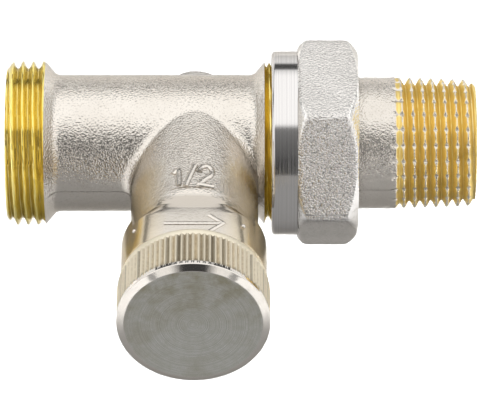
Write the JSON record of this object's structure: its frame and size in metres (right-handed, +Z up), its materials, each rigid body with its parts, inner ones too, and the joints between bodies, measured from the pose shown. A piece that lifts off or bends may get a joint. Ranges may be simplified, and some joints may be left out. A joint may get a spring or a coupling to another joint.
{
  "type": "manual radiator valve",
  "caption": "Straight lockshield radiator valve in nickel-plated brass with a knurled cap over the spindle, a union nut and a threaded radiator tail.",
  "frame": {"origin": "centre of the pipe-end face, on the axis of the run", "axes": "+X along the run from the pipe end to the radiator tail, the spindle and its cap along -Y, +Z up"},
  "size_m": [0.0752, 0.062, 0.0318],
  "materials": {
    "blasted_nickel": "sand-blasted nickel plate on brass",
    "turned_nickel": "turned and nickel-plated brass",
    "bare_brass": "machined bare brass",
    "seal_rubber": "black seal rubber",
    "spring_steel": "stainless spring steel"
  },
  "bodies": {
    "valve": {"valve_body": "blasted_nickel", "insert_bush": "bare_brass", "insert_o_ring": "seal_rubber", "spindle_circlip": "spring_steel"},
    "cap_seal": {"cap_gasket": "seal_rubber"},
    "cap": {"cap": "turned_nickel"},
    "tail": {"tailpiece": "blasted_nickel", "tail_o_ring": "seal_rubber"},
    "nut": {"union_nut": "turned_nickel"},
    "plug": {"cone": "bare_brass", "cone_clip": "spring_steel", "seat_washer": "seal_rubber", "washer_screw": "spring_steel"},
    "spindle": {"spindle": "bare_brass", "spindle_o_ring_inner": "seal_rubber", "spindle_o_ring_outer": "seal_rubber"}
  },
  "joints": [
    {"name": "cap_lift", "type": "slide", "parent": "valve", "child": "cap_seal", "axis": [0, -1, 0], "range_m": [0, 0.005]},
    {"name": "cap_turn", "type": "hinge", "parent": "cap_seal", "child": "cap", "pos_m": [0.0302, 0, 0], "axis": [0, -1, 0], "range_deg": [0, 1440]},
    {"name": "tail_draw", "type": "slide", "parent": "valve", "child": "tail", "axis": [1, 0, 0], "range_m": [0, 0.00726]},
    {"name": "nut_turn", "type": "hinge", "parent": "tail", "child": "nut", "pos_m": [0.0497, 0, 0], "axis": [1, 0, 0], "range_deg": [0, 1440]},
    {"name": "plug_close", "type": "slide", "parent": "valve", "child": "plug", "axis": [0, 1, 0], "range_m": [0, 0.0044]},
    {"name": "spindle_turn", "type": "hinge", "parent": "plug", "child": "spindle", "pos_m": [0.0302, 0, 0], "axis": [0, 1, 0], "range_deg": [0, 1584]}
  ],
  "couplings": [
    {"joint": "cap_lift", "follows": "cap_turn", "m_per_rad": 0.00019894},
    {"joint": "tail_draw", "follows": "nut_turn", "m_per_rad": 0.00028871},
    {"joint": "plug_close", "follows": "spindle_turn", "m_per_rad": 0.00015915}
  ]
}
